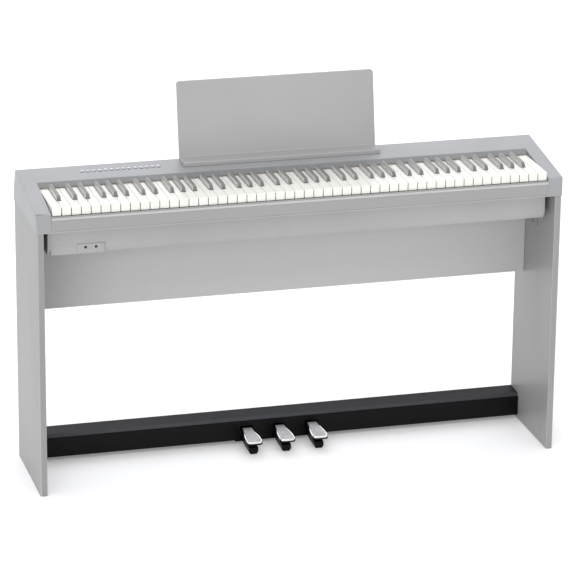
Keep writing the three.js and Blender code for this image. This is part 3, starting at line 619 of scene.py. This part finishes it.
# the nose of a sharp, seen from the side: mm from its front, and the share of its height reached
sharpNose = [(0, 0.1), (0.5, 0.32), (1.8, 0.58), (3.6, 0.78), (5.6, 0.91), (8.0, 0.98), (11.0, 1.0)]
movingLetters = "cdefgab"
firstMoving = 23
keyTotal = 52
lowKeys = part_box("white_keys_low")
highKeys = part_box("white_keys_high")
keyPitch = (highKeys[1].x - lowKeys[0].x + keys["gap"] * mm) / keyTotal
sharpCentre = {
    letter: (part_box(f"key_{letter}_sharp")[0].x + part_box(f"key_{letter}_sharp")[1].x) / 2
    for letter in "cdfga"
}


def letterOf(i):
    return "abcdefg"[i % 7]


def keyLeft(i):
    return lowKeys[0].x - keys["gap"] * mm / 2 + i * keyPitch


# the centre of the sharp to the right of white key i, or None
def sharpAt(i):
    letter = letterOf(i)
    if letter not in sharpCentre or not 0 <= i < keyTotal - 1:
        return None
    return sharpCentre[letter] + (i - firstMoving - movingLetters.index(letter)) * keyPitch


def whiteOutline(i, inset):
    low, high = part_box("key_c")
    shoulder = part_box("key_c_sharp")[0].y - keys["slot"] * mm - inset
    left = keyLeft(i) + keys["gap"] * mm / 2 + inset
    right = keyLeft(i + 1) - keys["gap"] * mm / 2 - inset
    notch = (keys["sharpSlot"] + keys["slot"]) * mm + inset
    tailLeft = left if sharpAt(i - 1) is None else sharpAt(i - 1) + notch
    tailRight = right if sharpAt(i) is None else sharpAt(i) - notch
    outline = [(left, low.y + inset), (right, low.y + inset), (right, shoulder)]
    if tailRight != right:
        outline.append((tailRight, shoulder))
    outline += [(tailRight, high.y - inset), (tailLeft, high.y - inset)]
    if tailLeft != left:
        outline.append((tailLeft, shoulder))
    return outline + [(left, shoulder)]


# a resin top plate that overhangs the key body a little at the front and sides
def whiteKeyMesh(i):
    low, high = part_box("key_c")
    work = bmesh.new()
    plateFoot = high.z - keys["plate"] * mm
    addPrism(work, whiteOutline(i, 0), plateFoot, high.z, keys["edge"])
    addPrism(work, whiteOutline(i, keys["lip"] * mm), low.z, plateFoot + keys["bond"] * mm)
    return meshOf(work, "whiteKey", [keyResin])


# a sharp: a raised nose that falls away at the front, tapered sides, and a low tail behind
def sharpKeyMesh(i):
    low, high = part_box("key_c_sharp")
    centre = sharpAt(i)
    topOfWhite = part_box("key_c")[1].z
    rise = high.z - topOfWhite
    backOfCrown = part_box("key_rear_trim")[0].y - keys["crownGap"] * mm
    half = keys["sharpSlot"] * mm
    crown = keys["sharpCrown"] * mm
    rings = []
    stations = [(low.y + depth * mm, share) for depth, share in sharpNose] + [(backOfCrown, 1.0)]
    for y, share in stations:
        top = topOfWhite + rise * share
        width = half + (crown - half) * share
        fall = min(keys["sharpRound"] * mm, rise * share * keys["roundShare"])
        ring = [(-half, low.z), (half, low.z), (half, topOfWhite)]
        for step in range(keys["roundSteps"] + 1):
            angle = math.radians(90 * step / keys["roundSteps"])
            ring.append((width - fall + fall * math.cos(angle), top - fall + fall * math.sin(angle)))
        ring += [(-x, z) for x, z in ring[:2:-1]] + [(-half, topOfWhite)]
        rings.append([(centre + x, y, z) for x, z in ring])
    work = bmesh.new()
    addLoft(work, rings)
    tail = boxOutline(centre - half, centre + half, backOfCrown - keys["tailLap"] * mm, high.y)
    addPrism(work, tail, low.z, topOfWhite + keys["tailRise"] * mm)
    return meshOf(work, "sharpKey", [sharpResin])


# a fixed run of keys: each letter repeats at an octave's step, and skipped keys are made singly
def buildRun(name, node, slotName, first, last, keyMesh, finish, skip=()):
    work = bmesh.new()
    for start in range(first, min(first + 7, last + 1)):
        numbers = [i for i in range(start, last + 1, 7) if i not in skip]
        if not numbers or (keyMesh is sharpKeyMesh and sharpAt(numbers[0]) is None):
            continue
        octave = (7 * keyPitch, 0, 0)
        row = repeatMesh("row", keyMesh(numbers[0]), len(numbers), octave, finish)
        work.from_mesh(row.data)
        bpy.data.objects.remove(row)
    for i in skip:
        if first <= i <= last:
            work.from_mesh(keyMesh(i))
    run = settle(newPiece(name, meshOf(work, name, [finish])))
    if keyMesh is sharpKeyMesh:
        # the flanks take the painted reflection of the white keys
        paint(run, flankPaintedReflection, isFlank)
    place(run, slotName, stands=[node])


def buildKeys():
    lastMoving = firstMoving + 6
    endKeys = (0, keyTotal - 1)
    whiteLook = (whiteKeyMesh, keyResin, endKeys)
    sharpLook = (sharpKeyMesh, sharpResin)
    buildRun("whiteKeysLow", "white_keys_low", "key_white", 0, firstMoving - 1, *whiteLook)
    buildRun("whiteKeysHigh", "white_keys_high", "key_white", lastMoving + 1, keyTotal - 1, *whiteLook)
    buildRun("sharpKeysLow", "black_keys_low", "key_grey", 0, firstMoving - 1, *sharpLook)
    buildRun("sharpKeysHigh", "black_keys_high", "key_grey", lastMoving + 1, keyTotal - 2, *sharpLook)
    for offset, letter in enumerate(movingLetters):
        i = firstMoving + offset
        node = "key_" + letter
        white = settle(newPiece("whiteKey" + letter.upper(), whiteKeyMesh(i)))
        place(white, "key_white", node, [node])
        if sharpAt(i) is not None:
            node += "_sharp"
            sharp = settle(newPiece("sharpKey" + letter.upper(), sharpKeyMesh(i)))
            # the flanks take the painted reflection of the white keys
            paint(sharp, flankPaintedReflection, isFlank)
            place(sharp, "key_grey", node, [node])


buildKeys()
print("keys ready")

# ---- felt and the slip's painted highlight strip
strips = {
    "proud": 0.2,
    "felt": {"deep": 2.0, "overKeys": 0.3, "intoTrim": 0.4, "edge": 0.3},
    "slip": {"deep": 2.2, "high": 4.8, "drop": 3.2, "edge": 0.4},
}


# a strip let into the front of a CAD node, a hair proud of it
def buildStrip(name, node, look, bottom, top, finish, slotName):
    low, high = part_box(node)
    outline = boxOutline(low.x, high.x, low.y - strips["proud"] * mm, low.y + look["deep"] * mm)
    work = bmesh.new()
    addPrism(work, outline, bottom, top, look["edge"])
    place(settle(newPiece(name, meshOf(work, name, [finish]))), slotName)


def buildStrips():
    felt = strips["felt"]
    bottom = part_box("key_c")[1].z + felt["overKeys"] * mm
    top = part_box("key_rear_trim")[0].z + felt["intoTrim"] * mm
    buildStrip("feltStrip", "key_rear_trim", felt, bottom, top, woolFelt, "trim_plastic")
    # the slip strip is a painted highlight along the top edge of the slip
    slip = strips["slip"]
    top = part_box("key_slip")[1].z - slip["drop"] * mm
    bottom = top - slip["high"] * mm
    buildStrip("slipLightStrip", "key_slip", slip, bottom, top, slipPaintedHighlight, "board_laminate")


buildStrips()
print("strips ready")

# ---- buttons, their printed ticks and two lamps
panel = {
    "buttons": 14, "edge": 0.9, "roundAbove": 3.0, "proud": 1.8, "slope": 8.2,
    "tickWide": 7.6, "tickDeep": 3.2, "tickGap": 3.2, "dashShare": 0.3,
    "inkFrom": 0.02, "inkTo": 0.12, "lampWide": 4.4, "lampDeep": 2.4, "lampGlow": 0.35,
}
# each lamp: the button it sits behind, counted from 0, and its colour
lamps = {"lampBlue": (4, "#6fc4f2"), "lampRed": (13, "#d98f9a")}


# a place on the sloping panel: x and a distance behind the button row's centre
def slopeMatrix(x, behind):
    low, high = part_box("button_1")
    slope = math.radians(panel["slope"])
    middle = (low.y + high.y) / 2
    skin = high.z - panel["proud"] * mm - (high.y - middle) * math.tan(slope)
    turn = Matrix.Rotation(slope, 4, "X")
    return Matrix.Translation((x, middle, skin)) @ turn @ Matrix.Translation((0, behind, 0))


# print on the panel: a flat patch a hair above the skin
def addPrint(work, x, behind, wide, deep):
    patch = bmesh.new()
    outline = boxOutline(-wide / 2, wide / 2, -deep / 2, deep / 2)
    addPrism(patch, outline, panel["inkFrom"] * mm, panel["inkTo"] * mm)
    patch.transform(slopeMatrix(x, behind))
    mergeInto(work, patch)


def buildButtons():
    centres = []
    for number in range(1, panel["buttons"] + 1):
        node = f"button_{number}"
        low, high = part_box(node)
        centres.append((low.x + high.x) / 2)
        foot = low.z + panel["roundAbove"] * mm
        cap = roundedCopy(node, f"buttonCap{number}", [buttonAbs], panel["edge"],
                          pick=lambda edge: min(v.co.z for v in edge.verts) > foot)
        place(cap, "button_plastic", node, [node])
    return centres


# a tick behind each button and two dashes in front of it, and a lamp behind two of the ticks
def buildPrints(centres):
    low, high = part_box("button_1")
    wide = panel["tickWide"] * mm
    deep = panel["tickDeep"] * mm
    away = (high.y - low.y) / 2 + panel["tickGap"] * mm
    dash = panel["dashShare"] * wide
    work = bmesh.new()
    addPrint(work, centres[0], away, wide, deep)
    for shift in (-dash, dash):
        addPrint(work, centres[0] + shift, -away, dash, deep / 2)
    step = (centres[1] - centres[0], 0, 0)
    ticks = repeatMesh("printedTicks", meshOf(work, "tick"), len(centres), step, printInk)
    place(ticks, "button_plastic")
    for name, (number, colour) in lamps.items():
        work = bmesh.new()
        addPrint(work, centres[number], away + deep, panel["lampWide"] * mm, panel["lampDeep"] * mm)
        lens = lampFinish(name + "Lens", colour, panel["lampGlow"])
        place(newPiece(name, meshOf(work, name, [lens])), "button_plastic")


buildPrints(buildButtons())
print("panel ready")

# ---- music rest
musicRest = {"edge": 0.8}
restPlate = roundedCopy("music_rest", "musicRestPlate", [restAbs], musicRest["edge"], 3)
place(restPlate, "rest_plastic", "music_rest", ["music_rest"])
print("music rest ready")

# ---- pedal unit
pedals = {
    "edge": 1.2, "rim": 0.5, "wall": 0.5, "sink": 0.3, "smooth": 50,
    "keel": 0.6, "arm": 1.0, "shortest": 4, "sole": 2.5,
}
barEdges = {"cover": 0.8, "front": 0.8, "plate": 0.5}


def topOf(work):
    return max(work.faces, key=lambda face: face.normal.z * face.calc_area())


# a cast plate: its edges rounded over and polished, with a satin field sunk a little into the top
def pedalPlate(node, name):
    work = flatWork(node)
    bmesh.ops.bevel(
        work, geom=list(topOf(work).edges), offset=pedals["edge"] * mm, offset_type="OFFSET",
        segments=3, profile=0.5, affect="EDGES", clamp_overlap=True,
    )
    top = topOf(work)
    bmesh.ops.inset_region(work, faces=[top], thickness=pedals["rim"] * mm, use_even_offset=True)
    bmesh.ops.inset_region(
        work, faces=[top], thickness=pedals["wall"] * mm, depth=-pedals["sink"] * mm,
        use_even_offset=True,
    )
    top.material_index = 1
    plate = newPiece(name, meshOf(work, name, [polishedNickel, satinNickel]))
    return settle(plate, pedals["smooth"])


def buildPedal(side):
    body = "pedal_" + side
    title = side.capitalize()
    picked = longerThan(pedals["shortest"])
    node = f"pedal_cap_{side}"
    place(pedalPlate(node, "pedalPlate" + title), "pedal_chrome", body, [node])
    node = f"pedal_lever_{side}"
    lever = roundedCopy(node, "pedalLever" + title, [powderBlack], pedals["keel"], 2, picked)
    place(lever, "pedal_black", body, [node])
    node = f"pedal_arm_{side}"
    arm = roundedCopy(node, "pedalArm" + title, [powderBlack], pedals["arm"], 3, picked)
    paint(arm, footRubber, lambda face: face.center.z < pedals["sole"] * mm)
    place(arm, "pedal_black", fixedBody, [node])


def buildPedalUnit():
    cover = roundedCopy("pedal_bar_cover", "barCover", [barTopFoil], barEdges["cover"], 3)
    paint(cover, barEdgeFoil, isFront)
    place(cover, "bar_black", stands=["pedal_bar_cover"])
    board = roundedCopy("pedal_bar_front_board", "barFrontBoard", [barFrontFoil], barEdges["front"], 3)
    place(board, "bar_front_black", stands=["pedal_bar_front_board"])
    plate = roundedCopy("pedal_base_plate", "barBasePlate", [powderBlack], barEdges["plate"])
    place(plate, "pedal_black", stands=["pedal_base_plate"])
    for side in ("left", "middle", "right"):
        buildPedal(side)


buildPedalUnit()
print("pedal unit ready")

# ---- inner pieces keep their CAD shape and take a finish
innerFinish = {
    "key_chassis": zincPlate, "panel_board": solderMask, "main_board": solderMask,
    "left_speaker": pressedPaper, "right_speaker": pressedPaper, "pedal_pivot_shaft": zincPlate,
}
for node, finish in innerFinish.items():
    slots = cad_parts[node].data.materials
    slots.clear()
    slots.append(finish)
